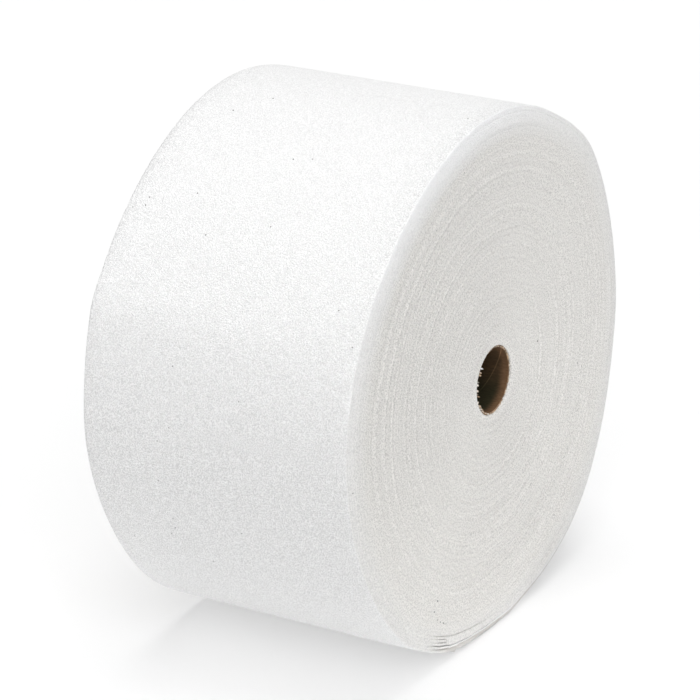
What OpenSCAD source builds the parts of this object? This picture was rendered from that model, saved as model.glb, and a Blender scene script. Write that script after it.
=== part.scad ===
// Foam wrap roll: one long sheet of white foam wound on a cardboard core, lying on its side.
// +X runs along the axis towards the end with the loose turns, +Y lies across and +Z is up.
// The origin is on the floor, under the middle of the roll's box.
// Angles round the roll start at its top and grow towards +Y, which is the way the sheet winds out.

/* [Roll] */
// Width of the foam sheet
sheet_w = 313; // [150:1:610]
// Mean diameter of the wound roll
roll_d = 596; // [360:2:760]
// Thickness of the foam sheet
sheet_t = 3.2; // [1.6:0.1:6.4]
// Where the free end of the sheet lies, round from the top
tail_a = 193; // [190:1:230]

/* [Core] */
// Inner diameter of the cardboard core
core_inner_d = 71.2; // [50:0.1:154]
// Wall thickness of the cardboard core
core_wall = 2; // [1:0.5:8]
// Distance from each end of the core to the end of the roll
core_inset = 1.5; // [0.5:0.5:10]
// Clearance between the core and the first turn of foam
core_gap = 0.3; // [0.1:0.1:0.8]

/* [Soft shape] */
// How much lower than its core the roll hangs
sag = 3.1; // [0:0.1:6]
// Rise of the long radius over the mean one, where the soft roll has gone oval
oval = 3.5; // [0:0.1:10]
// Direction of the long radius, round from the top
oval_a = 114; // [0:1:179]
// Height of the three soft lumps round the roll
lump_3 = 3; // [0:0.1:5]
// Height of the four soft lumps round the roll
lump_4 = 1.8; // [0:0.1:4]
// Height of the five soft lumps round the roll
lump_5 = 2.3; // [0:0.1:4]
// How deep the floor presses a flat spot into the roll
press = 3.6; // [1:0.1:8]

/* [Turns] */
// Distance from one turn of the spiral groove on the end faces to the next
groove_pitch = 16; // [12:1:30]
// Width of the spiral groove, which is the turns that lie back from their neighbours
groove_w = 7; // [3:0.5:9]
// Depth of the spiral groove
groove_depth = 2; // [1:0.5:5]
// How far the inner turns have slid out past the outermost one
slide = 3; // [1:0.5:10]
// Number of steps in which they have slid
shoulder_steps = 3; // [1:1:6]
// Sheets of foam in one of those steps
sheets_per_step = 2; // [1:1:3]
// Number of loose turns that stand open past the free end
loose_turns = 3; // [0:1:4]
// Width of the opening between two loose turns
loose_gap = 2.4; // [1:0.2:4]
// Depth of those openings, along the roll
loose_depth = 45; // [10:5:70]

/* [Hidden] */

// Angles between the points of the outline and of the groove
outline_step = 5;
groove_step = 10;
// Directions of the lumps, round from the top
lump_3_a = 31;
lump_4_a = 34;
lump_5_a = 62;
// The bottom of the roll, and how far to each side of it the flat spot may reach
bottom_a = 180;
flat_reach_a = 30;
// Angle that an opening between loose turns takes up, and the points along it
loose_a = 17;
loose_points = 8;
// How far the cutting shapes stand out of the ends
cut = 1;
core_fn = 96;

roll_r = roll_d / 2;
roll_l = sheet_w + slide;
core_r = core_inner_d / 2 + core_wall;
hole_r = core_r + core_gap;
wound = roll_r - hole_r;
step_t = sheets_per_step * sheet_t;

// Radius of the sagged roll before the floor presses it
function soft_r(a) = roll_r - sag * cos(a) + oval * cos(2 * (a - oval_a)) + lump_3 * cos(3 * (a - lump_3_a))
    + lump_4 * cos(4 * (a - lump_4_a)) + lump_5 * cos(5 * (a - lump_5_a));

// Height of the axis over the floor
axis_z = soft_r(bottom_a) - press;

function from_bottom(a) = abs(a % 360 - bottom_a);
function pressed_r(a) = from_bottom(a) < flat_reach_a
    ? min(soft_r(a), axis_z / cos(from_bottom(a))) : soft_r(a);

// Radius at a depth under the surface: the turns grow rounder towards the core
function turn_r(a, depth) = hole_r + (pressed_r(a) - hole_r) * (1 - depth / wound);

function at(a, r) = [r * sin(a), r * cos(a)];

// One turn of the sheet, from just past the free end round to it.
// It rises by its own thickness on the way, all of it before the flat spot.
rise_a = 360 - (tail_a - bottom_a) - flat_reach_a;
function turn_outline(depth) = [for (i = [0:outline_step:360])
    at(tail_a + i, turn_r(tail_a + i, depth + sheet_t * max(0, 1 - i / rise_a)))];

// The axis lies off the middle of the box, because the roll isn't round
across = [for (p = turn_outline(0)) p[0]];
axis_y = -(max(across) + min(across)) / 2;

// The groove runs from under the shoulder round and round to the core
groove_start = shoulder_steps * step_t + groove_pitch / 2;
groove_turns = (wound - groove_start - groove_pitch) / groove_pitch;
function groove_edge(inwards) = [for (i = [0:groove_step:360 * groove_turns])
    let (a = tail_a + 360 * ceil(groove_turns) - i)
    at(a, turn_r(a, groove_start + groove_pitch * i / 360 + inwards))];
function backwards(list) = [for (i = [len(list) - 1:-1:0]) list[i]];

// One edge of an opening between loose turns, bowed out from its middle line
function loose_edge(depth, bow) = [for (i = [0:loose_points])
    let (a = tail_a + loose_a * i / loose_points)
    at(a, turn_r(a, depth + bow * sin(180 * i / loose_points)))];
function inner_points(list) = [for (i = [1:len(list) - 2]) list[i]];

// How far a step of turns has slid along the axis from the middle, least at the outside
function slid(k) = slide / 2 - slide * pow(1 - k / shoulder_steps, 2);

// A flat shape across the roll, drawn out along the axis between two places on it
module along(x0, x1) {
    translate([x0, axis_y, axis_z])
        rotate([90, 0, 90])
            linear_extrude(height = x1 - x0)
                children();
}

module round_bar(length, radius) {
    translate([-length / 2, axis_y, axis_z])
        rotate([0, 90, 0])
            cylinder(h = length, r = radius, $fn = core_fn);
}

// All the turns, standing out step by step at one end and as much hollow at the other
module wound_sheet() {
    difference() {
        for (k = [0:shoulder_steps])
            along(-sheet_w / 2 + slid(0), sheet_w / 2 + slid(k))
                polygon(turn_outline(k * step_t));
        for (k = [1:1:shoulder_steps])
            along(-roll_l / 2 - cut, -sheet_w / 2 + slid(k))
                polygon(turn_outline(k * step_t));
    }
}

module groove_shape() {
    polygon(concat(groove_edge(0), backwards(groove_edge(groove_w))));
}

module grooves() {
    along(roll_l / 2 - groove_depth, roll_l / 2 + cut)
        groove_shape();
    along(-roll_l / 2 - cut, -roll_l / 2 + slide + groove_depth)
        groove_shape();
}

// Openings between the loose turns, widest in the middle and closed at both tips
module loose_openings() {
    for (k = [1:1:loose_turns])
        along(roll_l / 2 - loose_depth, roll_l / 2 + cut)
            polygon(concat(
                loose_edge(k * step_t, loose_gap / 2),
                backwards(inner_points(loose_edge(k * step_t, -loose_gap / 2)))));
}

module foam_roll() {
    color("white")
        difference() {
            wound_sheet();
            grooves();
            loose_openings();
            round_bar(roll_l + 2 * cut, hole_r);
        }
}

module core_tube() {
    core_l = roll_l - 2 * core_inset;
    color("peru")
        difference() {
            round_bar(core_l, core_r);
            round_bar(core_l + 2 * cut, core_inner_d / 2);
        }
}

foam_roll();
core_tube();
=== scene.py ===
"""Foam wrap roll: a white foam sheet wound on a cardboard core, on a pale studio floor.

Everything is in metres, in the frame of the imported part: +X along the roll's axis towards the end with
the loose turns, +Y across, +Z up, the origin on the floor. Angles round the roll are in degrees, start at
its top and grow towards +Y.
"""

import math
from types import SimpleNamespace

import bpy
import numpy as np
from bpy.props import FloatProperty, FloatVectorProperty, IntProperty, PointerProperty
from bpy.types import Operator, Panel, PropertyGroup
from mathutils import Matrix, Vector


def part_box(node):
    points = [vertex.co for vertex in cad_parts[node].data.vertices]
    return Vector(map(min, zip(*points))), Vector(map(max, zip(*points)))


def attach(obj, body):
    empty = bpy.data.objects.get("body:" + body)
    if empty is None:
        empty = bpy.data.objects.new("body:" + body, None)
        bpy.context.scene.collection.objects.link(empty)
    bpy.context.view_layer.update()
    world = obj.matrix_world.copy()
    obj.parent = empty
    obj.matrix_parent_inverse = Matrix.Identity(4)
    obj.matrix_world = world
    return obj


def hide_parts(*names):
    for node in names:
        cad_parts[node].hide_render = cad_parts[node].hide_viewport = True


bl_info = {
    "name": "Foam wrap roll",
    "version": (1, 0, 0),
    "blender": (4, 5, 0),
    "location": "3D View > Sidebar > Foam Roll",
    "description": "Models a roll of foam wrap with its cardboard core, and a pale studio round it",
    "category": "Object",
}

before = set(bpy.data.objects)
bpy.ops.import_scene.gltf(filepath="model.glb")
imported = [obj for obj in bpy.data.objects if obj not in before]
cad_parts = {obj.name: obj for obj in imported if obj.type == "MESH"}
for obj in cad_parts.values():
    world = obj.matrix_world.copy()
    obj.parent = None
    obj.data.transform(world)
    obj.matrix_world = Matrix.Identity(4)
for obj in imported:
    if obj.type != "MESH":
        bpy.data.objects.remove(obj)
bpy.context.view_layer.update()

MM = 0.001
FULL_TURN = 360.0

CORE_LOW, CORE_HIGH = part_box("core_tube")
ROLL_END, CORE_END = float(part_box("foam_roll")[1][0]), float(CORE_HIGH[0])
AXIS_Y = (CORE_LOW[1] + CORE_HIGH[1]) / 2
AXIS_Z = (CORE_LOW[2] + CORE_HIGH[2]) / 2
CORE_R = (CORE_HIGH[1] - CORE_LOW[1]) / 2
SLIDE = 2 * (ROLL_END - CORE_END)
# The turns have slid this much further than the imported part's slide
SLIDE_SHARE = 1.27


def length(name, description, default):
    """A length in metres."""
    return FloatProperty(name=name, description=description, default=default, unit="LENGTH")


def plain_number(name, description, default):
    """A plain number, or an angle in degrees."""
    return FloatProperty(name=name, description=description, default=default)


def whole_number(name, description, default):
    """A whole number."""
    return IntProperty(name=name, description=description, default=default)


def colour(name, description, red, green, blue):
    """An opaque colour."""
    return FloatVectorProperty(
        name=name, description=description, subtype="COLOR", size=4, default=(red, green, blue, 1))


class RollSizes(PropertyGroup):
    """Sizes of the wound sheet."""

    half_w: length("Half width", "Half the sheet's width", ROLL_END - SLIDE / 2)
    slide: length("Slide", "How far the inner turns have slid past the outermost one", SLIDE_SHARE * SLIDE)
    slide_depth: length("Slide depth", "How deep under the surface the turns have slid all the way", 36 * MM)
    shoulder: length("Shoulder", "How deep the steeper part of the slide reaches", 18 * MM)
    mean_r: length("Mean radius", "Mean radius of the wound roll", 298 * MM)
    core_gap: length("Core gap", "Clearance between the core and the first turn", 0.3 * MM)
    sheet_t: length("Sheet thickness", "Thickness of the foam sheet", 3.2 * MM)
    tail_a: plain_number("Free end", "Where the sheet's free end lies, in degrees from the top", 194)
    sag: length("Sag", "How much lower than its core the roll hangs", 3.1 * MM)
    oval: length("Oval", "Rise of the long radius over the mean one", 3.5 * MM)
    lump_3: length("Three lumps", "Height of the three soft lumps", 3 * MM)
    lump_4: length("Four lumps", "Height of the four soft lumps", 1.8 * MM)
    lump_5: length("Five lumps", "Height of the five soft lumps", 2.3 * MM)
    edge_shift: length("Edge shift", "How unevenly the single turns stand in the end", 0.3 * MM)
    edge_groove: length("Edge groove", "Depth of the line between two turns", 0.2 * MM)
    proud: length("Proud turns", "How far the turns that stand out do so", 0.65 * MM)
    round_off: length("Rounding", "Rounding of the outer edges", 1 * MM)
    loose_depth: length("Loose depth", "Depth of the lines between loose turns", 7 * MM)
    strip_back: length("Strip set-back", "How far the last turns lie back near the free end", 1.2 * MM)
    tail_dent: length("Dent at the free end", "How far the surface has sunk past the free end", 1.9 * MM)
    deep_dent: length("Deep dent", "How far the loose turns have sunk at the free end", 3 * MM)
    ripple: length("Ripple", "How far the inner turns are pushed in at the lower right", 12 * MM)
    near_lift: length("Lift at the free end", "How far the free end's near corner has risen", 4.2 * MM)
    lift_w: length("Lift width", "How much of the sheet's width has risen there", 60 * MM)
    belly: length("Belly", "How far the underside bulges behind the free end", 1.7 * MM)
    far_round: length("Far rounding", "How far the skin falls off towards the far end", 2.2 * MM)
    far_reach: length("Far reach", "How wide that rounding is", 13 * MM)
    other_specks: whole_number("Other specks", "Specks of dirt on each of the sides turned away", 9)
    columns: whole_number("Columns", "Columns of faces round the roll outside the loose stretch", 160)


class CoreSizes(PropertyGroup):
    """Sizes of the cardboard core."""

    wall: length("Wall", "Wall of the core", 2 * MM)
    torn: length("Torn edge", "How far the sawn rim is torn", 0.4 * MM)
    chip: length("Chips", "Depth of the chips along the rim's torn side", 2.2 * MM)
    chip_pitch: plain_number("Chip spacing", "From one chip to the next, in degrees", 7)
    seam_lead: length("Seam lead", "Length of one turn of the spiral seam", 95 * MM)
    seam_a: plain_number("Seam start", "Where the seam meets the near rim, in degrees from the top", 31)
    seam_step: length("Seam step", "Thickness of the paper strip at the seam", 0.35 * MM)
    burrs: whole_number("Burrs", "Paper burrs on each rim", 49)


class RollColours(PropertyGroup):
    """Colours of the finishes."""

    foam: colour("Foam", "Skin of the foam sheet", 0.99, 0.99, 0.99)
    foam_cut: colour("Cut foam", "Cut edges of the sheet", 0.965, 0.948, 0.918)
    # Painted shade: a darker colour painted on the set-back strip near the free end, where shadow falls
    foam_painted_shade: colour("Recessed foam", "Edges of turns that lie back near the free end", 0.72, 0.69, 0.655)
    # Painted highlight: a pale colour painted on the shoulder by the near rim and on the strip's pale line,
    # where light falls
    foam_painted_highlight: colour("Glowing foam", "Thin edges that light shines through", 0.985, 0.99, 1)
    kraft: colour("Kraft paper", "Wall of the core", 0.17, 0.094, 0.049)
    # Painted shade: a near-black colour painted on the wall deep inside the core, where shade falls
    kraft_painted_shade: colour("Deep kraft", "Wall of the core deep inside", 0.030, 0.026, 0.012)
    kraft_torn: colour("Torn paper", "Rim of the core", 0.56, 0.39, 0.25)
    tuft: colour("Tufts", "Palest torn paper", 0.84, 0.79, 0.71)
    speck: colour("Specks", "Dirt specks on the foam", 0.12, 0.11, 0.10)


class StageSizes(PropertyGroup):
    """Camera, lights and floor. A light's share of white is what it gives a white surface that faces it."""

    azimuth: plain_number("Azimuth", "Camera's angle from -Y towards +X, in degrees", 30.395)
    elevation: plain_number("Elevation", "Camera's angle over the floor, in degrees", 20.632)
    distance: length("Distance", "From the roll's middle to the camera", 3.6263)
    lens: plain_number("Lens", "Focal length in millimetres", 174.0)
    shift_left: length("Aside", "How far to the left of the roll's middle the camera stands", 15.02 * MM)
    shift_up: length("Up", "How far above the line to the roll's middle the camera stands", 3.67 * MM)
    key: plain_number("Key light", "The key's share of white", 0.484)
    top: plain_number("Top light", "Share of white of the light from straight above", 0.53)
    sky: plain_number("Sky", "Share of white of the even light all round", 0.222)
    bounce: plain_number("Bounce", "Share of white of the light from the floor by the roll", 0.235)
    softness: plain_number("Softness", "How wide the lights look, in degrees", 40)
    floor: colour("Floor", "Colour of the floor", 0.93, 0.93, 0.93)
    lift: plain_number("Shadow lift", "How much paler the camera sees the floor and the shadow", 0.45)


# Tools

def deselect_all():
    for thing in list(bpy.context.selected_objects):
        thing.select_set(False)


def wander(places, seed):
    """A smooth random line between -1 and 1 that bends about once in each unit of places."""
    start = np.floor(places).astype(int)
    knots = np.random.default_rng(seed).uniform(-1, 1, start.max() - start.min() + 2)
    part = places - start
    part = part * part * (3 - 2 * part)
    low = start - start.min()
    return knots[low] * (1 - part) + knots[low + 1] * part


def smooth(low, high, value):
    """0 below low, 1 above high, and a soft step between them."""
    part = np.clip((value - low) / (high - low), 0, 1)
    return part * part * (3 - 2 * part)


def bump(angle, middle, width):
    """A soft bump of height 1 round that angle, in degrees."""
    apart = (angle - middle + FULL_TURN / 2) % FULL_TURN - FULL_TURN / 2
    return np.exp(-(apart / width) ** 2)


# How far the section of an open tube is spun, in degrees
SPIN_OPEN = 359.0


def spun(name, places, rows, columns, closed):
    """A tube about the X axis: a circle's points are laid on a closed outline and spun round.

    places are the outline's (x, radius) pairs. rows holds a value for each of them by name, which the tube's
    points keep. An open tube stops short of a full turn, so that its two ends can be told apart.
    """
    deselect_all()
    bpy.ops.mesh.primitive_circle_add(vertices=len(places), fill_type="NOTHING")
    piece = bpy.context.active_object
    piece.name = piece.data.name = name
    flat = np.array([(x, 0, r) for x, r in places])
    piece.data.vertices.foreach_set("co", flat.ravel())
    keep_values(piece, **rows)
    bpy.ops.object.mode_set(mode="EDIT")
    bpy.ops.mesh.select_all(action="SELECT")
    angle = math.radians(FULL_TURN if closed else SPIN_OPEN)
    bpy.ops.mesh.spin(steps=columns, angle=angle, center=(0, 0, 0), axis=(1, 0, 0), use_auto_merge=closed)
    bpy.ops.object.mode_set(mode="OBJECT")
    return piece


def points_of(piece):
    flat = np.empty(len(piece.data.vertices) * 3)
    piece.data.vertices.foreach_get("co", flat)
    return flat.reshape(-1, 3)


def spun_angle(points):
    """How far round the axis a spun tube's points lie, in degrees from 0 upwards."""
    slack = 0.4
    return (np.degrees(np.arctan2(points[:, 1], points[:, 2])) + slack) % FULL_TURN - slack


def keep_values(piece, **values):
    """Stores values on the piece's points under their names."""
    for key, numbers in values.items():
        piece.data.attributes.new(key, "FLOAT", "POINT").data.foreach_set("value", np.array(numbers, float))


def values_of(piece, key):
    values = np.empty(len(piece.data.vertices))
    piece.data.attributes[key].data.foreach_get("value", values)
    return values


def set_points(piece, x, radius, angle):
    """Puts the points at those places round the roll's axis."""
    turn = np.radians(angle)
    flat = np.stack([x, AXIS_Y + radius * np.sin(turn), AXIS_Z + radius * np.cos(turn)], axis=1)
    piece.data.vertices.foreach_set("co", flat.ravel())
    piece.data.update()


def in_edit_mode(piece, *steps):
    """Runs the steps on the whole piece in edit mode."""
    deselect_all()
    piece.select_set(True)
    bpy.context.view_layer.objects.active = piece
    bpy.ops.object.mode_set(mode="EDIT")
    bpy.ops.mesh.select_mode(type="VERT")
    bpy.ops.mesh.select_all(action="SELECT")
    for step in steps:
        step()
    bpy.ops.object.mode_set(mode="OBJECT")


def smooth_by_angle(piece, degrees):
    """Shades the piece smooth except where faces meet at more than that angle."""
    deselect_all()
    piece.select_set(True)
    bpy.context.view_layer.objects.active = piece
    bpy.ops.object.shade_smooth_by_angle(angle=math.radians(degrees))


# Wound sheet

# Directions of the sag, the long radius and the soft lumps
SAG_A, OVAL_A, LUMP_3_A, LUMP_4_A, LUMP_5_A = 180, 114, 31, 34, 62
# The bottom of the roll, and how far to each side of it the flat spot may reach
BOTTOM_A, FLAT_REACH_A = 180, 30

# Degrees past and before the free end where the columns of faces stand close together, and how close
FINE_AFTER, FINE_BEFORE, FINE_STEP = 20, 14, 0.65
# Share of a turn's thickness over which its edge slopes down to the line beside it
CROWN = 0.2
# Rows of faces along the skin and the bore, and the share of the half width of the rows by the far end
SKIN_ROWS, BORE_ROWS = 41, 8
FAR_ROWS = (-0.9, -0.925, -0.95, -0.97, -0.985, -1)

# Small lumps and hollows of the skin: angle and width in degrees, height in millimetres, and the power by
# which they fade towards the core
NEAR_LUMPS = ((28, 10, -2.9), (47, 6, 1.9), (67, 12, -2.4), (91, 8, 2.7), (138, 14, 3.4), (165, 12, -2.3))
FAR_LUMPS = ((257, 12, 1.0), (277, 7, -2.0), (293, 5, 3.6))
LUMP_FADE = 6

# Angle and width in degrees of the larger soft forms
LIFT = (191, 8.5)
BELLY = (205, 9)
FAR_ROUND, FAR_ROUND_LEAST = (330, 50), 0.4
PUSHED = (140, 30)
RAISED, RAISED_SHARE = (322, 34), 0.55

# The dent that the free end presses into the turns under it: how far past the free end it starts, how much
# further with each turn inwards, how long and how deep it is, and the turns over which it fades
KINK_A, KINK_LEAN, KINK_LONG, KINK_DEPTH, KINK_TURNS = 2.2, 0.85, 5, 0.6 * MM, (3, 8)
# The turns that have sunk past the free end, and those that it props up
SUNK_A, SUNK_W, SUNK_START, SUNK_TURNS = 12, 7, 5, (2, 14)
PROPPED_W, PROPPED_H, PROPPED_TURNS = 4.5, 2.5 * MM, (1, 3)
# The deeper turns that have sunk with them: the degrees and turns over which that starts and stops
DEEP_FROM, DEEP_TO = (-14, 0), (12, 30)
DEEP_TURNS_FROM, DEEP_TURNS_TO = (1, 7), (8, 24)

# Lines that stand open past the kink, by turns inwards and how open, those that stay open before it, and the
# turns over which that starts and stops
OPEN_LEAST, OPEN_LONG, OPEN_LINES = 0.25, 15, ((3, 0.55), (2, 0.15))
LASTING_LINES = ((6, 0.16, (-30, -6)), (3, 0.3, (-34, -4)))
OPEN_TURNS_FROM, OPEN_TURNS_TO = (0.5, 1), (6.1, 6.9)
# Width of a line in turns, how far its sides part in sheets, and the turns over which the innermost one fades
LINE_W, SPREAD, INNERMOST = 0.35, 0.06, (0, 0.6)

# The strip of turns that lie back before the free end: its start and end, and how many turns it is
STRIP_FROM, STRIP_TO = (-64, -42), (2, 12)
STRIP_TURNS, STRIP_MORE, STRIP_MORE_FROM = 1.1, 1.1, (-44, -2)
STRIP_GROOVE = 0.6 * MM
# How many turns inside the strip its painted highlight line lies, and how wide that is
HIGHLIGHT_LINE, HIGHLIGHT_LINE_W = 0.35, 0.3

# Turns that stand out of the ends, counted along the sheet, and how wide their ridge is in turns
PROUD_TURNS = (21.6, 34.0, 39.8, 43.9, 46.2, 54.5, 58.7, 64.2)
PROUD_W = 0.45
# How the slide is shared out between its gentle part and the steeper shoulder
GENTLE_SHARE, STEEP_SHARE = 0.4, 0.6

# Angle and width of the painted light and shade: the painted highlight on the shoulder by the near rim, the
# skin's grain with painted shade, and the rings' clearest painted shade
LIT_SIDE = (342, 52)
GRAIN_AND_SHADE, GRAIN_AND_SHADE_LEAST = (245, 42), 0.62
RING_SHADE, RING_SHADE_LEAST, RING_SHADE_MORE = ((322, 50), (165, 42)), 0.3, 0.85
# The end is painted darker left of its middle and paler low on its right: place across and up and reach in
# millimetres, and strength
TONE = 1.02
PATCHES = ((-160, 15, 115, -0.055), (190, -170, 120, 0.02))


def soft_radius(sizes, angle):
    """Radius of the sagged roll, pressed flat where it stands on the floor."""
    def lump(height, count, direction):
        return height * np.cos(np.radians(count * (angle - direction)))

    radius = sizes.mean_r + lump(sizes.sag, 1, SAG_A) + lump(sizes.oval, 2, OVAL_A)
    radius += lump(sizes.lump_3, 3, LUMP_3_A) + lump(sizes.lump_4, 4, LUMP_4_A)
    radius += lump(sizes.lump_5, 5, LUMP_5_A)
    from_bottom = np.abs(angle % FULL_TURN - BOTTOM_A)
    floor = AXIS_Z / np.cos(np.radians(np.minimum(from_bottom, FLAT_REACH_A)))
    return np.where(from_bottom < FLAT_REACH_A, np.minimum(radius, floor), radius)


def sheet_outline(turns):
    """The rows of the roll's section: turn, whether it lies between turns, and share of the half width."""
    rows = []
    for turn in range(turns):
        rows.append((turn, 1, 1))
        rows.append((turn + CROWN, 0, 1))
        rows.append((turn + 1 - CROWN, 0, 1))
    rows += [(turns, 1, share) for share in np.linspace(1, FAR_ROWS[0], SKIN_ROWS)]
    rows += [(turns, 1, share) for share in FAR_ROWS[1:]]
    for turn in reversed(range(turns)):
        rows.append((turn + 0.5, 0, -1))
        rows.append((turn, 1, -1))
    rows += [(0, 1, share) for share in np.linspace(-1, 1, BORE_ROWS)[1:-1]]
    return np.array(rows)


def column_angles(sizes):
    """Degrees past the free end of each column, close together where the turns are loose."""
    after = np.arange(0, FINE_AFTER, FINE_STEP)
    coarse = np.linspace(FINE_AFTER, FULL_TURN - FINE_BEFORE, sizes.columns, endpoint=False)
    before = np.linspace(FULL_TURN - FINE_BEFORE, FULL_TURN, round(FINE_BEFORE / FINE_STEP))
    return np.concatenate([after, coarse, before])


def past_kink(from_tail, inward):
    """Degrees past the dent that the free end has pressed into the turns under it."""
    return from_tail - KINK_A - KINK_LEAN * inward


def one_line(inward, number):
    """1 on the line that lies that many turns in, 0 away from it."""
    return np.exp(-((inward - number) / LINE_W) ** 2)


def loosened(from_tail, inward):
    """How open the lines between the outer turns are, from 0 to 1."""
    past = past_kink(from_tail, inward)
    beyond = smooth(-0.6, 0.6, past)
    widest = OPEN_LEAST + sum(share * one_line(inward, number) for number, share in OPEN_LINES)
    opened = beyond * (1 - smooth(0.5, OPEN_LONG, past)) ** 2 * widest
    lasting = sum(share * one_line(inward, number) * smooth(*stretch, past)
                  for number, share, stretch in LASTING_LINES)
    within = smooth(*OPEN_TURNS_FROM, inward) * (1 - smooth(*OPEN_TURNS_TO, inward))
    return (opened + (1 - beyond) * lasting) * within


def sheet_places(piece, sizes, turns, angles):
    """What each point of the spun section is on the sheet, as arrays by name.

    turn and share are its place in the section. from_tail is in degrees past the free end, or negative before
    it. along counts turns along the sheet, and inward counts them from its free end. out is the turn that it
    comes to lie in, level is that as a share of all the turns, and outer is 1 on the skin.
    """
    column = np.round(spun_angle(points_of(piece)) / SPIN_OPEN * (len(angles) - 1)).astype(int)
    past = angles[column]
    turn, share = values_of(piece, "turn"), values_of(piece, "share")
    rise_a = FULL_TURN - (sizes.tail_a - BOTTOM_A) - FLAT_REACH_A
    along = turn - 1 + past / FULL_TURN
    out = np.maximum(0, turn - 1 + np.minimum(1, past / rise_a))
    outer = (turn > turns - 0.01) * smooth(0, 3, past)
    return SimpleNamespace(
        turn=turn, share=share, angle=sizes.tail_a + past, along=along, inward=turns - along, out=out,
        from_tail=np.where(past > BOTTOM_A, past - FULL_TURN, past), level=out / turns, outer=outer,
        groove=values_of(piece, "groove") * (1 - outer), depth=(turns - out) * sizes.sheet_t)


def near_free_end(sizes, at):
    """How far the turns near the free end stand out, which is negative where they have sunk in."""
    past = past_kink(at.from_tail, at.inward)
    kink = smooth(-0.5, 0.5, past) * (1 - smooth(0.5, KINK_LONG, past)) * (at.share > 0.9)
    rise = -KINK_DEPTH * kink * (1 - smooth(*KINK_TURNS, at.inward)) * (1 - at.outer)
    sunk = np.exp(-((at.from_tail - SUNK_A) / SUNK_W) ** 2) * (1 - smooth(*SUNK_TURNS, at.inward))
    rise -= sizes.tail_dent * sunk * smooth(0, SUNK_START, at.from_tail)
    propped = np.exp(-np.maximum(at.from_tail, 0) / PROPPED_W) * (at.from_tail >= 0)
    rise += PROPPED_H * propped * (1 - smooth(*PROPPED_TURNS, at.inward))
    window = smooth(*DEEP_FROM, at.from_tail) * (1 - smooth(*DEEP_TO, at.from_tail))
    deep = smooth(*DEEP_TURNS_FROM, at.inward) * (1 - smooth(*DEEP_TURNS_TO, at.inward))
    return rise - sizes.deep_dent * window * deep


def soft_lumps(sizes, at):
    """The small lumps and hollows of the skin, which fade towards the core."""
    swell = sum(height * bump(at.angle, *place) for *place, height in NEAR_LUMPS) * MM
    swell += (1 - at.share) / 2 * sum(height * bump(at.angle, *place) for *place, height in FAR_LUMPS) * MM
    lifted = smooth(1 - sizes.lift_w / sizes.half_w, 1, at.share)
    swell -= sizes.near_lift * bump(at.angle, *LIFT) * lifted
    swell += sizes.belly * bump(at.angle, *BELLY) * (1 - lifted)
    fallen = np.clip(1 - (1 + at.share) * sizes.half_w / sizes.far_reach, 0, 1) ** 2
    swell -= sizes.far_round * (FAR_ROUND_LEAST + (1 - FAR_ROUND_LEAST) * bump(at.angle, *FAR_ROUND)) * fallen
    return swell * at.level ** LUMP_FADE


def rippled(sizes, at):
    """How far the turns between the skin and the core are pushed out, or in where it is negative."""
    push = RAISED_SHARE * bump(at.angle, *RAISED) - bump(at.angle, *PUSHED)
    return sizes.ripple * push * np.sin(math.pi * at.level ** 2)


def slid(sizes, at):
    """How far each turn has slid along the axis, towards the near end."""
    gentle = np.clip(1 - at.depth / sizes.slide_depth, 0, 1) ** 2
    steep = np.clip(1 - at.depth / sizes.shoulder, 0, 1)
    return sizes.slide * (0.5 - GENTLE_SHARE * gentle - STEEP_SHARE * steep)


def strip_of(at):
    """Where the strip of turns lies that are set back, and how many turns it is."""
    strip = smooth(*STRIP_FROM, at.from_tail) * (1 - smooth(*STRIP_TO, at.from_tail)) * (at.share > 0)
    return strip, STRIP_TURNS + STRIP_MORE * smooth(*STRIP_MORE_FROM, at.from_tail)


def set_back(sizes, at, opening):
    """How far the edges lie back from the ends: the strip, the lines between turns and rounded corners."""
    strip, layers = strip_of(at)
    back = sizes.strip_back * strip * (1 - smooth(-0.1, 0.15, at.inward - layers))
    deep = sizes.edge_groove * (0.6 + 1.4 * np.clip(wander(at.along * 3.1 + 9, 5), 0, 1) ** 2)
    deep += STRIP_GROOVE * strip * one_line(layers, at.inward)
    back += at.groove * smooth(*INNERMOST, at.out) * (deep + sizes.loose_depth * opening)
    return back + sizes.round_off * (at.outer * (1 - 0.7 * strip) + 0.7 * (1 - smooth(0, 0.4, at.out)))


def stood_out(sizes, at):
    """How far single turns stand out of the ends."""
    shift = sizes.edge_shift * (0.8 * wander(at.along * 2.7 + 9, 3) + 0.5 * wander(at.along * 8.3 + 40, 4))
    for middle in PROUD_TURNS:
        shift += sizes.proud * np.exp(-((at.along - middle) / PROUD_W) ** 2)
    return shift * smooth(*INNERMOST, at.out) * (np.abs(at.share) == 1) * (1 - at.outer)


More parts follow.
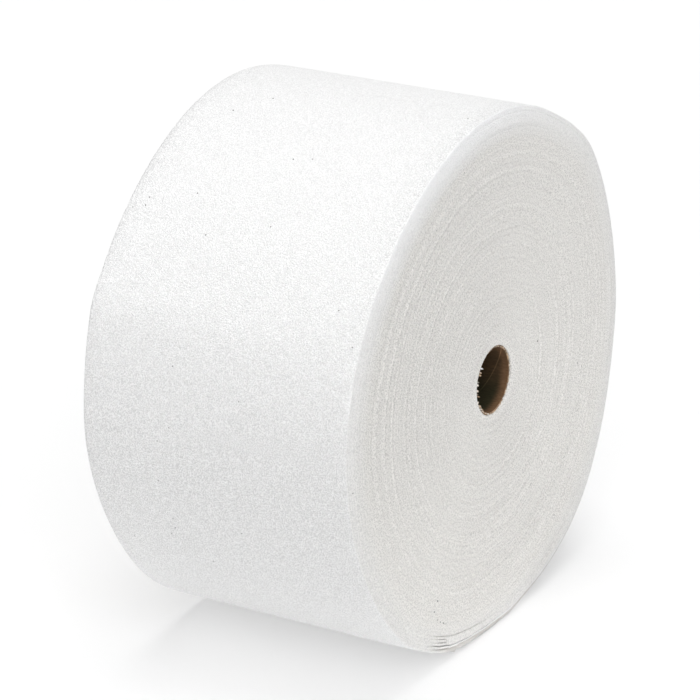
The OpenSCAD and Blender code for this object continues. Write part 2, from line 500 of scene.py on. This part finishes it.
def mark_sheet(piece, sizes, at, radius):
    """Stores the finish: cut edges, skin grain, painted highlights, painted shade on skin, strip and rings,
    and patches.
    """
    strip, layers = strip_of(at)
    at_end = (np.abs(at.share) == 1) * (1.0 - at.outer)
    # Painted highlight: near the shoulder the end takes the skin's paler colour, and on its lit upper left a
    # pale one
    shoulder_highlight = np.clip(1 - at.depth / sizes.slide_depth, 0, 1)
    lit_side = bump(at.angle, *LIT_SIDE)
    # Painted shade: the skin's grain is darkened more beside the ends on the lit upper left
    beside = np.exp(-(1 - np.abs(at.share)) * sizes.half_w / sizes.shoulder) * lit_side
    # Painted highlight: a pale line just inside the set-back strip, where the next turn's edge catches light
    line = strip * np.exp(-((layers + HIGHLIGHT_LINE - at.inward) / HIGHLIGHT_LINE_W) ** 2)
    # Painted shade on the set-back strip, darkest at its inner edge
    recessed = strip * (1 - smooth(-0.1, 0.1, at.inward - layers)) * (at.share > 0.98)
    recessed *= 0.5 + 0.5 * np.exp(-np.clip(layers - at.inward, 0, None) / 0.8)
    turn_a = np.radians(at.angle)
    across, up = radius / MM * np.sin(turn_a), radius / MM * np.cos(turn_a)
    tone = TONE + sum(strength * np.exp(-((across - y) ** 2 + (up - z) ** 2) / reach ** 2)
                      for y, z, reach, strength in PATCHES)
    # Painted shade: the rings are painted darker on the sides where the light grazes them
    keep_values(
        piece, cut=at_end * (1 - 0.6 * shoulder_highlight),
        rough=GRAIN_AND_SHADE_LEAST + (1 - GRAIN_AND_SHADE_LEAST) * np.maximum(bump(at.angle, *GRAIN_AND_SHADE), beside),
        bright=np.maximum(line, shoulder_highlight ** 0.8 * at_end * lit_side) * (np.abs(at.share) == 1),
        recessed=recessed, wound_on=at.along,
        streaks=RING_SHADE_LEAST + RING_SHADE_MORE * sum(bump(at.angle, *place) for place in RING_SHADE), tone=tone)


def model_wound_sheet(sizes):
    """The whole sheet. Its section is spun, drawn into a spiral, joined turn to turn and closed."""
    hole_r = CORE_R + sizes.core_gap
    wound = sizes.mean_r - hole_r
    turns = round(wound / sizes.sheet_t)
    outline = sheet_outline(turns)
    angles = column_angles(sizes)
    places = [(share * sizes.half_w, hole_r + wound * turn / turns) for turn, groove, share in outline]
    rows = {"turn": outline[:, 0], "groove": outline[:, 1], "share": outline[:, 2]}
    piece = spun("wound_foam_sheet", places, rows, len(angles) - 1, closed=False)

    at = sheet_places(piece, sizes, turns, angles)
    opening = loosened(at.from_tail, at.inward) * (at.share == 1)
    radius = hole_r + (soft_radius(sizes, at.angle) - hole_r) * at.out / turns
    part = at.turn - np.floor(at.turn + 0.01)
    side = np.isclose(part, CROWN, atol=0.01) * 1.0 - np.isclose(part, 1 - CROWN, atol=0.01)
    radius += SPREAD * sizes.sheet_t * opening * side
    radius += near_free_end(sizes, at) + soft_lumps(sizes, at) + rippled(sizes, at)
    shift = slid(sizes, at) + stood_out(sizes, at)
    x = at.share * (sizes.half_w - set_back(sizes, at, opening)) + shift
    set_points(piece, x, radius, at.angle)
    mark_sheet(piece, sizes, at, radius)

    def close():
        bpy.ops.mesh.remove_doubles(threshold=0.004 * MM)
        bpy.ops.mesh.fill_holes(sides=0)
        bpy.ops.mesh.normals_make_consistent(inside=False)

    in_edit_mode(piece, close)
    for key in rows:
        piece.data.attributes.remove(piece.data.attributes[key])
    smooth_by_angle(piece, 62)
    return piece


# Core

# Rows of faces: close together by the mouth, wider apart deeper in, over the rims and along the outside
MOUTH_DEPTH, MOUTH_ROWS = 50 * MM, 68
DEEP_START, DEEP_ROWS = 53 * MM, 20
WALL_ROWS, OUTSIDE_ROWS, CORE_COLUMNS = 5, 9, 384
# Angles over which the rim's chips begin and end, and between which it has tufts of torn paper
CHIPS_BEGIN, CHIPS_END = (185, 205), (318, 335)
TUFTS_FROM, TUFTS_TO = 196, 305
# How much the seam's step is drawn together at its edge
SEAM_SHARPNESS = 6


def core_outline(sizes):
    """The core's section, round its wall: (x, radius, how torn)."""
    inner = CORE_R - sizes.wall
    wall = np.linspace(inner, CORE_R, WALL_ROWS)
    depths = [np.linspace(0, MOUTH_DEPTH, MOUTH_ROWS), np.linspace(DEEP_START, CORE_END, DEEP_ROWS)]
    near = CORE_END - np.concatenate(depths)
    rows = [(x, inner, 0) for x in near[1:-1]]
    rows += [(x, inner, 0) for x in -near[:0:-1][::2]]
    rows += [(-CORE_END, r, 1) for r in wall]
    rows += [(x, CORE_R, 0) for x in np.linspace(-CORE_END, CORE_END, OUTSIDE_ROWS)[1:-1]]
    rows += [(CORE_END, r, 1) for r in wall[::-1]]
    return rows


def model_core(sizes):
    """The cardboard tube, with the step of its spiral seam inside and its sawn rims torn."""
    outline = core_outline(sizes)
    rows = {"torn": [row[2] for row in outline]}
    piece = spun("kraft_core_tube", [row[:2] for row in outline], rows, CORE_COLUMNS, closed=True)
    co = points_of(piece)
    x, radius = co[:, 0].copy(), np.hypot(co[:, 1], co[:, 2])
    angle = spun_angle(co)
    torn = values_of(piece, "torn")
    wrap = ((angle - sizes.seam_a) / FULL_TURN - (CORE_END - x) / sizes.seam_lead) % 1
    inside = radius < CORE_R - sizes.wall / 2
    radius -= sizes.seam_step * wrap ** SEAM_SHARPNESS * inside
    ring = angle / FULL_TURN
    rough = 0.7 * wander(ring * 90, 11) + 0.5 * wander(ring * 200 + radius / MM, 12)
    chips = np.clip(wander(angle / sizes.chip_pitch * 2, 13) - 0.1, 0, 1)
    chips *= smooth(*CHIPS_BEGIN, angle) * (1 - smooth(*CHIPS_END, angle))
    x += np.sign(x) * torn * (sizes.torn * (rough - 0.4) - sizes.chip * chips * (x > 0))
    set_points(piece, x, radius, angle)
    keep_values(piece, cut=torn)
    in_edit_mode(piece, lambda: bpy.ops.mesh.normals_make_consistent(inside=False))
    piece.data.attributes.remove(piece.data.attributes["torn"])
    smooth_by_angle(piece, 50)
    return piece


def lump_mesh(seed):
    """One small uneven lump, which is copied to all the places."""
    deselect_all()
    bpy.ops.mesh.primitive_ico_sphere_add(subdivisions=2, radius=1)
    first = bpy.context.active_object
    lump = points_of(first)
    lump *= 1 + 0.3 * wander(lump[:, :1] * 2.3 + lump[:, 1:2] * 1.7 + 9, seed)
    first.data.vertices.foreach_set("co", lump.ravel())
    return first


def placed_copies(name, first, places):
    """Copies of the lump, each moved by one of the matrices, joined into one piece."""
    copies = []
    for place in places:
        copy = first.copy()
        copy.data = first.data.copy()
        copy.data.transform(place)
        bpy.context.collection.objects.link(copy)
        copies.append(copy)
    bpy.data.objects.remove(first)
    deselect_all()
    for copy in copies:
        copy.select_set(True)
    bpy.context.view_layer.objects.active = copies[0]
    bpy.ops.object.join()
    piece = bpy.context.active_object
    piece.name = piece.data.name = name
    smooth_by_angle(piece, 70)
    return piece


def round_axis(x, radius, angle):
    """One place round the roll's axis."""
    turn = math.radians(angle)
    return Vector((x, AXIS_Y + radius * math.sin(turn), AXIS_Z + radius * math.cos(turn)))


def model_burrs(sizes):
    """Torn curls of paper left on the core's rims, in tufts along the side where the rim is chipped."""
    rng = np.random.default_rng(21)
    places = []
    rim = CORE_R - sizes.wall * 0.6
    for side in (1, -1):
        for number in range(sizes.burrs):
            angle = FULL_TURN * (number + rng.uniform(-0.35, 0.35)) / sizes.burrs
            size = rng.uniform(0.3, 0.6) * MM
            long = size
            if side > 0 and TUFTS_FROM < angle < TUFTS_TO:
                size, long = rng.uniform(0.45, 1.05) * MM, rng.uniform(0.9, 2.2) * MM
            x = side * (CORE_END + 0.6 * long - 0.2 * MM)
            shape = Matrix.Diagonal(Vector((long, size * rng.uniform(0.9, 1.3), size, 1)))
            turn = Matrix.Rotation(-math.radians(angle), 4, "X")
            place = round_axis(x, rim - rng.uniform(0, 0.5) * MM, angle)
            places.append(Matrix.Translation(place) @ turn @ shape)
    return placed_copies("core_rim_burrs", lump_mesh(22), places)


# Where the flap starts and ends: radius in millimetres and angle
NICK_ENDS = ((39, 307.5), (30.6, 310.6))


def model_foam_nick():
    """The small flap of foam that hangs into the mouth of the core."""
    outer, inner = (round_axis(ROLL_END - 0.9 * MM, radius * MM, angle) for radius, angle in NICK_ENDS)
    along = inner - outer
    turn = along.to_track_quat("Z", "X").to_matrix().to_4x4()
    shape = Matrix.Diagonal(Vector((0.9 * MM, 0.8 * MM, along.length / 2, 1)))
    return placed_copies("foam_nick", lump_mesh(23), [Matrix.Translation((outer + inner) / 2) @ turn @ shape])


# Specks on the near end: angle, radius and size in millimetres
END_SPECKS = (
    (343.8, 258.2, 0.5), (6.1, 219.6, 0.6), (326.4, 222.3, 0.5), (327.5, 240.7, 0.5), (340.9, 89.3, 0.5),
    (82.5, 97.8, 0.8), (102.9, 199.9, 0.7), (96.9, 262.7, 0.6), (98.9, 269.7, 0.6), (265.6, 292.1, 0.6),
    (153.5, 175.6, 0.5), (144.8, 255.5, 0.6), (209.8, 238.8, 1.0), (210.2, 250.8, 0.8), (207.6, 258, 0.6),
    (205.8, 259.5, 0.8), (204.1, 260.2, 0.8), (203.2, 261, 0.5))
# Specks on the skin: place along the axis in millimetres, angle and size in millimetres
SKIN_SPECKS = (
    (-78.8, 349.4, 0.8), (-106.8, 342.6, 0.8), (-2, 331.3, 0.8), (18.1, 332.2, 0.7), (-83.8, 318.9, 0.7),
    (-134.8, 316, 0.7), (-135, 314.1, 0.7), (-148.6, 313.2, 0.6), (13.7, 314.5, 0.7), (-53.3, 310.2, 0.7),
    (121, 300.5, 0.7), (136.8, 354.9, 0.7), (-51.3, 283.8, 0.6), (-52.2, 271.5, 0.6), (-66.9, 268.2, 0.6),
    (-72, 259, 0.7), (-66.1, 249.3, 0.6), (-67.6, 246.6, 0.7), (-75.4, 244.4, 0.6), (-128.8, 240.2, 0.6),
    (17.6, 249.8, 0.6), (-35.7, 237.9, 0.6), (29.4, 279.8, 0.5), (146.3, 294.2, 0.6), (89.6, 246.4, 0.5))
# Where the lines that seat the specks start: past the ends, and outside the skin
START_X, START_R = 0.3, 0.5


def seated(sheet, start, towards, size):
    """Where a speck sits half sunk in the surface that a line from start meets, flattened against it."""
    hit, place, normal, _ = sheet.ray_cast(start, towards)
    if not hit:
        raise RuntimeError("a speck of dirt has no surface to sit on")
    turn = normal.to_track_quat("Z", "X").to_matrix().to_4x4()
    return Matrix.Translation(place) @ turn @ Matrix.Diagonal(Vector((size, size, 0.4 * size, 1)))


def model_specks(sheet, others):
    """Specks of dirt where the roll has them, and a few more on the sides that are turned away."""
    bpy.context.view_layer.update()
    rng = np.random.default_rng(31)
    places = []
    for angle, radius, size in END_SPECKS:
        places.append(seated(sheet, round_axis(START_X, radius * MM, angle), Vector((-1, 0, 0)), size * MM))
    skin = [(x * MM, angle, size) for x, angle, size in SKIN_SPECKS]
    skin += [(rng.uniform(-0.13, 0.13), rng.uniform(20, 160), rng.uniform(0.5, 0.8)) for _ in range(others)]
    for x, angle, size in skin:
        start = round_axis(x, START_R, angle)
        places.append(seated(sheet, start, round_axis(x, 0, angle) - start, size * MM))
    for _ in range(others):
        start = round_axis(-START_X, rng.uniform(0.06, 0.26), rng.uniform(0, FULL_TURN))
        places.append(seated(sheet, start, Vector((1, 0, 0)), rng.uniform(0.5, 0.9) * MM))
    return placed_copies("dirt_specks", lump_mesh(24), places)


# Finishes

# Cells per metre of the foam's skin and of its cut edges, and how dark the hollows between them are
SKIN_CELLS, CUT_CELLS = 760, 600
SKIN_HOLLOW, CUT_HOLLOW = 0.70, 0.71
CUT_SHADES = (0.0, 0.75)
# What makes the cells uneven: noise for each metre, and how far it moves them
WARP_SCALE, WARP_REACH = 160, (0.0016, 0.0016, 0.0016)
# Noise along the sheet for the rings in the ends, where it starts and stops being dark, and how dark that is
RING_SCALE, RING_FROM, RING_TO, RING_DARK = 0.9, 0.35, 0.65, -0.08
PEBBLE_HEIGHT = 0.55 * MM

# Noise for each metre, and how much longer the fibres are along the core
FIBRES, FIBRE_STRETCH, FIBRE_HEIGHT = 700, (0.25, 1, 1), 0.2 * MM
RIM_PATCHES, TORN_FIBRES, DIRT_SHADES, FLOOR_SHADES = 90, 260, 600, 1.5
# Share of a turn from the seam on where the seam's pale edge begins
SEAM_EDGE = 0.992
# Painted light and shade of the core's wall: pale by the rims and painted darker over that depth, and paler
# towards its top, by shares of a turn from there
WALL_LIGHT_DEPTH = (1.5 * MM, 13 * MM)
WALL_LIGHT_TOP = ((0.24, 0.38, 0.4), (0.07, 0.2, 0.5))


def new_group(name, inputs, outputs):
    """An empty shader node group with float or vector inputs (None makes it a vector) and float outputs."""
    group = bpy.data.node_groups.new(name, "ShaderNodeTree")
    for key, default in inputs.items():
        kind = "NodeSocketVector" if default is None else "NodeSocketFloat"
        socket = group.interface.new_socket(name=key, in_out="INPUT", socket_type=kind)
        if default is not None:
            socket.default_value = default
    for key in outputs:
        group.interface.new_socket(name=key, in_out="OUTPUT", socket_type="NodeSocketFloat")
    return group, group.nodes.new("NodeGroupInput").outputs, group.nodes.new("NodeGroupOutput").inputs


def feed(links, socket, value):
    """Links the socket to another one, or sets it to a number or a colour."""
    if isinstance(value, bpy.types.NodeSocket):
        links.new(value, socket)
    else:
        socket.default_value = value


def math_node(nodes, links, operation, *values):
    node = nodes.new("ShaderNodeMath")
    node.operation = operation
    for socket, value in zip(node.inputs, values):
        feed(links, socket, value)
    return node.outputs[0]


def range_node(nodes, links, value, low, high, to_low=0.0, to_high=1.0):
    node = nodes.new("ShaderNodeMapRange")
    node.interpolation_type = "SMOOTHSTEP"
    links.new(value, node.inputs["Value"])
    for key, limit in (("From Min", low), ("From Max", high), ("To Min", to_low), ("To Max", to_high)):
        node.inputs[key].default_value = limit
    return node.outputs["Result"]


def noise_node(nodes, links, where, scale, detail=2.0, roughness=0.5):
    node = nodes.new("ShaderNodeTexNoise")
    links.new(where, node.inputs["Vector"])
    for key, value in (("Scale", scale), ("Detail", detail), ("Roughness", roughness)):
        feed(links, node.inputs[key], value)
    return node.outputs


def stored(nodes, key):
    """The value that the piece's points hold under that name."""
    node = nodes.new("ShaderNodeAttribute")
    node.attribute_name = key
    return node.outputs["Fac"]


def mixed(nodes, links, factor, first, second):
    """A colour mix. first and second are colours or sockets."""
    node = nodes.new("ShaderNodeMix")
    node.data_type = "RGBA"
    links.new(factor, node.inputs["Factor"])
    feed(links, node.inputs[6], first)
    feed(links, node.inputs[7], second)
    return node.outputs[2]


def scaled(nodes, links, shade, factor):
    """A colour from one socket times the number from another."""
    node = nodes.new("ShaderNodeVectorMath")
    node.operation = "SCALE"
    links.new(shade, node.inputs[0])
    links.new(factor, node.inputs["Scale"])
    return node.outputs[0]


def relief(nodes, links, shader, height, strength, distance):
    """Gives the shader its fine relief."""
    node = nodes.new("ShaderNodeBump")
    node.inputs["Strength"].default_value = strength
    node.inputs["Distance"].default_value = distance
    links.new(height, node.inputs["Height"])
    links.new(node.outputs["Normal"], shader.inputs["Normal"])


def coat(links, shader, shade, roughness, specular=0.5):
    """Gives the shader its colour, from a socket, and its sheen."""
    links.new(shade, shader.inputs["Base Color"])
    shader.inputs["Roughness"].default_value = roughness
    shader.inputs["Specular IOR Level"].default_value = specular


def darker(shade, share):
    return [channel * share for channel in shade[:3]] + [1]


def new_material(name, slot_colour):
    """A new material with its nodes, its links, its shader and the place that patterns are laid out by."""
    material = bpy.data.materials.new(name)
    material.use_nodes = True
    material.diffuse_color = slot_colour
    nodes, links = material.node_tree.nodes, material.node_tree.links
    where = nodes.new("ShaderNodeTexCoord").outputs["Object"]
    return material, nodes, links, nodes["Principled BSDF"], where


def pebbles_group():
    """The fine bubbled skin of closed-cell foam: a height and a shade for each small cell."""
    group, given, result = new_group(
        "Foam pebbles", {"Vector": None, "Cells per metre": 420.0}, ("Height", "Shade"))
    nodes, links = group.nodes, group.links
    offset = nodes.new("ShaderNodeVectorMath")
    offset.operation = "MULTIPLY_ADD"
    offset.inputs[1].default_value = WARP_REACH
    links.new(noise_node(nodes, links, given["Vector"], WARP_SCALE)["Color"], offset.inputs[0])
    links.new(given["Vector"], offset.inputs[2])
    cells = nodes.new("ShaderNodeTexVoronoi")
    cells.feature = "SMOOTH_F1"
    cells.inputs["Smoothness"].default_value = 0.6
    links.new(offset.outputs[0], cells.inputs["Vector"])
    links.new(given["Cells per metre"], cells.inputs["Scale"])
    links.new(range_node(nodes, links, cells.outputs["Distance"], 0.05, 0.75, 1.0, 0.0), result["Height"])
    fine = noise_node(nodes, links, given["Vector"], given["Cells per metre"], 3, 0.65)
    links.new(range_node(nodes, links, fine["Fac"], 0.38, 0.62), result["Shade"])
    return group


def pebbles(nodes, links, where, cells):
    """The foam's cells in a material, that many for each metre."""
    node = nodes.new("ShaderNodeGroup")
    node.node_tree = bpy.data.node_groups["Foam pebbles"]
    node.inputs["Cells per metre"].default_value = cells
    links.new(where, node.inputs["Vector"])
    return node.outputs


def foam_material(colours):
    """White closed-cell foam: pebbled skin outside and fine-grained cut edges at the ends."""
    material, nodes, links, shader, where = new_material("White foam", colours.foam)
    bubbles = pebbles(nodes, links, where, SKIN_CELLS)
    hollows = math_node(nodes, links, "SUBTRACT", 1, bubbles["Shade"])
    # The skin's grain, stronger and darker on the lower left and beside the ends on the upper left, is partly
    # painted shade
    hollows = math_node(nodes, links, "MULTIPLY", hollows, stored(nodes, "rough"))
    skin = mixed(nodes, links, hollows, colours.foam, darker(colours.foam, SKIN_HOLLOW))

    grains = range_node(nodes, links, pebbles(nodes, links, where, CUT_CELLS)["Shade"], *CUT_SHADES)
    grain = mixed(nodes, links, grains, darker(colours.foam_cut, CUT_HOLLOW), colours.foam_cut)
    rings = nodes.new("ShaderNodeTexNoise")
    rings.noise_dimensions = "1D"
    rings.inputs["Scale"].default_value = RING_SCALE
    rings.inputs["Detail"].default_value = 2
    links.new(stored(nodes, "wound_on"), rings.inputs["W"])
    dark = range_node(nodes, links, rings.outputs["Fac"], RING_FROM, RING_TO, RING_DARK, 0)
    # Painted shade: the rings are darker on the sides where the light grazes them
    tone = math_node(nodes, links, "MULTIPLY_ADD", dark, stored(nodes, "streaks"), stored(nodes, "tone"))
    ends = scaled(nodes, links, grain, tone)

    base = mixed(nodes, links, stored(nodes, "cut"), skin, ends)
    # Painted shade on the set-back strip near the free end
    recess_shaded = mixed(nodes, links, stored(nodes, "recessed"), base, colours.foam_painted_shade)
    # Painted highlight on the shoulder and along the strip's pale line
    coat(links, shader, mixed(nodes, links, stored(nodes, "bright"), recess_shaded, colours.foam_painted_highlight), 0.6, 0.2)
    relief(nodes, links, shader, bubbles["Height"], 1, PEBBLE_HEIGHT)
    return material


def kraft_material(colours, sizes):
    """Brown wound paper: fibres in its wall, painted shade deep inside, a pale torn rim and the pale edge of
    the spiral seam.
    """
    material, nodes, links, shader, where = new_material("Kraft cardboard", colours.kraft)
    stretch = nodes.new("ShaderNodeMapping")
    stretch.inputs["Scale"].default_value = FIBRE_STRETCH
    links.new(where, stretch.inputs["Vector"])
    fibres = noise_node(nodes, links, stretch.outputs["Vector"], FIBRES, 5)["Fac"]
    patch = range_node(nodes, links, noise_node(nodes, links, where, RIM_PATCHES)["Fac"], 0.38, 0.62)
    rim = mixed(nodes, links, patch, darker(colours.kraft_torn, 0.35), colours.kraft_torn)

    def calc(operation, *values):
        return math_node(nodes, links, operation, *values)

    def fade(value, *limits):
        return range_node(nodes, links, value, *limits)

    parts = nodes.new("ShaderNodeSeparateXYZ")
    links.new(where, parts.inputs[0])
    along, across, up = parts.outputs
    turn = calc("ARCTAN2", calc("SUBTRACT", across, AXIS_Y), calc("SUBTRACT", up, AXIS_Z))
    turn = calc("DIVIDE", turn, 2 * math.pi)
    wraps = calc("DIVIDE", calc("SUBTRACT", CORE_END, along), sizes.seam_lead)
    wrap = calc("FRACT", calc("SUBTRACT", calc("SUBTRACT", turn, wraps), sizes.seam_a / FULL_TURN))
    edge = calc("GREATER_THAN", wrap, SEAM_EDGE)

    # Painted shade: the wall darkens from the rims inwards, less towards its top
    wall_light = fade(calc("SUBTRACT", CORE_END, calc("ABSOLUTE", along)), *WALL_LIGHT_DEPTH, 1.0, 0.0)
    aside = calc("ABSOLUTE", turn)
    for start, stop, share in WALL_LIGHT_TOP:
        wall_light = calc("ADD", wall_light, fade(aside, start, stop, share, 0.0))
    wall = mixed(nodes, links, wall_light, colours.kraft_painted_shade, colours.kraft)
    inside = scaled(nodes, links, wall, calc("ADD", fade(fibres, 0.3, 0.7, 0.8, 1.15), edge))
    coat(links, shader, mixed(nodes, links, stored(nodes, "cut"), inside, rim), 0.85, 0.2)
    relief(nodes, links, shader, fibres, 0.5, FIBRE_HEIGHT)
    return material


def uneven_material(name, dark, pale, shades, low, high):
    """A dull finish that wanders between two colours. shades are so many for each metre."""
    material, nodes, links, shader, where = new_material(name, pale)
    shade = range_node(nodes, links, noise_node(nodes, links, where, shades)["Fac"], low, high)
    coat(links, shader, mixed(nodes, links, shade, dark, pale), 0.9)
    return material, nodes, links, shader


def burr_material(colours):
    """Pale torn paper fibres."""
    material = uneven_material(
        "Torn paper", darker(colours.kraft_torn, 0.8), colours.tuft, TORN_FIBRES, 0.42, 0.62)[0]
    material.diffuse_color = colours.kraft_torn
    return material


def speck_material(colours):
    """Dull dark dirt."""
    return uneven_material("Dirt", darker(colours.speck, 0.6), colours.speck, DIRT_SHADES, 0.3, 0.7)[0]


def floor_material(stage):
    """Pale floor that keeps the roll's shadow and shows near white to the camera."""
    material, nodes, links, shader = uneven_material(
        "Studio floor", darker(stage.floor, 0.99), stage.floor, FLOOR_SHADES, 0.3, 0.7)
    shader.inputs["Specular IOR Level"].default_value = 0.1
    white = nodes.new("ShaderNodeEmission")
    path = nodes.new("ShaderNodeLightPath")
    blend = nodes.new("ShaderNodeMixShader")
    lift = math_node(nodes, links, "MULTIPLY", path.outputs["Is Camera Ray"], stage.lift)
    links.new(lift, blend.inputs["Fac"])
    links.new(shader.outputs["BSDF"], blend.inputs[1])
    links.new(white.outputs["Emission"], blend.inputs[2])
    links.new(blend.outputs["Shader"], nodes["Material Output"].inputs["Surface"])
    return material


def finish_piece(piece, material, slot, *nodes):
    """Gives a piece its finish and its place in the frame."""
    piece.data.materials.clear()
    piece.data.materials.append(material)
    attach(piece, "root")
    if nodes:
        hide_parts(*nodes)


# Operators

class FOAMROLL_OT_wound_sheet(Operator):
    """Model the foam sheet with all its turns"""

    bl_idname = "foam_roll.wound_sheet"
    bl_label = "Wound foam sheet"

    def execute(self, context):
        pebbles_group()
        piece = model_wound_sheet(context.scene.roll_sizes)
        finish_piece(piece, foam_material(context.scene.roll_colours), "foam_sheet", "foam_roll")
        return {"FINISHED"}


class FOAMROLL_OT_marks(Operator):
    """Model the specks of dirt and the flap of foam in the mouth of the core"""

    bl_idname = "foam_roll.marks"
    bl_label = "Marks"

    def execute(self, context):
        sizes, colours = context.scene.roll_sizes, context.scene.roll_colours
        specks = model_specks(bpy.data.objects["wound_foam_sheet"], sizes.other_specks)
        finish_piece(specks, speck_material(colours), "foam_sheet")
        finish_piece(model_foam_nick(), bpy.data.materials["White foam"], "foam_sheet")
        return {"FINISHED"}


class FOAMROLL_OT_core(Operator):
    """Model the cardboard core and the burrs on its rims"""

    bl_idname = "foam_roll.core"
    bl_label = "Cardboard core"

    def execute(self, context):
        sizes, colours = context.scene.core_sizes, context.scene.roll_colours
        finish_piece(model_core(sizes), kraft_material(colours, sizes), "kraft_cardboard", "core_tube")
        finish_piece(model_burrs(sizes), burr_material(colours), "kraft_cardboard")
        return {"FINISHED"}


# Where the key and the top light come from, and the size and place of the glowing card on the floor
KEY_FROM = (0.395, -0.556, 0.732)
TOP_FROM = (0, 0, 1)
LAMP_DISTANCE = 3
CARD_SIZE = (0.8, 0.4)
CARD_PLACE = (0, -0.1, 0.004)
FLOOR_SIZE = 40
SENSOR_W = 36


class FOAMROLL_OT_stage(Operator):
    """Set the floor, the lights and the camera"""

    bl_idname = "foam_roll.stage"
    bl_label = "Studio"

    def execute(self, context):
        stage = context.scene.stage_sizes
        deselect_all()
        bpy.ops.mesh.primitive_plane_add(size=FLOOR_SIZE)
        floor = context.active_object
        floor.name = "studio_floor"
        floor.data.materials.append(floor_material(stage))

        middle = Vector((0, AXIS_Y, AXIS_Z))
        azimuth, elevation = math.radians(stage.azimuth), math.radians(stage.elevation)
        back = Vector((math.sin(azimuth) * math.cos(elevation), -math.cos(azimuth) * math.cos(elevation),
                       math.sin(elevation)))
        right = Vector((math.cos(azimuth), math.sin(azimuth), 0))
        up = back.cross(right)
        data = bpy.data.cameras.new("camera")
        data.lens = stage.lens
        data.sensor_width = SENSOR_W
        camera = bpy.data.objects.new("camera", data)
        context.scene.collection.objects.link(camera)
        camera.location = middle + back * stage.distance - right * stage.shift_left + up * stage.shift_up
        camera.rotation_mode = "QUATERNION"
        camera.rotation_quaternion = (-back).to_track_quat("-Z", "Y")
        context.scene.camera = camera

        for name, share, towards in (("key", stage.key, KEY_FROM), ("top", stage.top, TOP_FROM)):
            lamp = bpy.data.lights.new(name, "SUN")
            lamp.angle = math.radians(stage.softness)
            lamp.energy = share * math.pi
            light = bpy.data.objects.new(name, lamp)
            context.scene.collection.objects.link(light)
            light.location = middle + Vector(towards) * LAMP_DISTANCE
            light.rotation_mode = "QUATERNION"
            light.rotation_quaternion = (-Vector(towards)).to_track_quat("-Z", "Y")

        card = bpy.data.lights.new("bounce", "AREA")
        card.shape = "RECTANGLE"
        card.size, card.size_y = CARD_SIZE
        card.energy = stage.bounce * math.pi * card.size * card.size_y
        light = bpy.data.objects.new("bounce", card)
        context.scene.collection.objects.link(light)
        light.location = CARD_PLACE
        light.rotation_euler = (math.pi, 0, 0)
        light.visible_camera = False

        world = bpy.data.worlds.new("studio")
        context.scene.world = world
        world.use_nodes = True
        nodes, links = world.node_tree.nodes, world.node_tree.links
        sky = nodes["Background"]
        sky.inputs["Color"].default_value = (1, 1, 1, 1)
        path = nodes.new("ShaderNodeLightPath")
        seen = math_node(nodes, links, "MAXIMUM", path.outputs["Is Camera Ray"], stage.sky)
        for ray in ("Is Glossy Ray", "Is Transmission Ray"):
            seen = math_node(nodes, links, "MAXIMUM", path.outputs[ray], seen)
        links.new(seen, sky.inputs["Strength"])
        context.scene.view_settings.view_transform = "Standard"
        return {"FINISHED"}


class FOAMROLL_PT_panel(Panel):
    """The steps that build the roll"""

    bl_idname = "FOAMROLL_PT_panel"
    bl_label = "Foam roll"
    bl_space_type = "VIEW_3D"
    bl_region_type = "UI"
    bl_category = "Foam Roll"

    def draw(self, context):
        for step in STEPS:
            self.layout.operator(step.bl_idname)
        for group in GROUPS:
            box = self.layout.box()
            values = getattr(context.scene, group)
            for key in values.bl_rna.properties.keys():
                if key not in ("rna_type", "name"):
                    box.prop(values, key)


GROUPS = {
    "roll_sizes": RollSizes, "core_sizes": CoreSizes, "roll_colours": RollColours, "stage_sizes": StageSizes}
STEPS = (FOAMROLL_OT_wound_sheet, FOAMROLL_OT_marks, FOAMROLL_OT_core, FOAMROLL_OT_stage)


def register():
    for group in GROUPS.values():
        bpy.utils.register_class(group)
    for step in STEPS:
        bpy.utils.register_class(step)
    bpy.utils.register_class(FOAMROLL_PT_panel)
    for key, group in GROUPS.items():
        setattr(bpy.types.Scene, key, PointerProperty(type=group))


def unregister():
    for key in GROUPS:
        delattr(bpy.types.Scene, key)
    bpy.utils.unregister_class(FOAMROLL_PT_panel)
    for step in reversed(STEPS):
        bpy.utils.unregister_class(step)
    for group in reversed(GROUPS.values()):
        bpy.utils.unregister_class(group)


def main():
    register()
    bpy.ops.foam_roll.wound_sheet()
    bpy.ops.foam_roll.marks()
    bpy.ops.foam_roll.core()
    bpy.ops.foam_roll.stage()


if __name__ == "__main__":
    main()
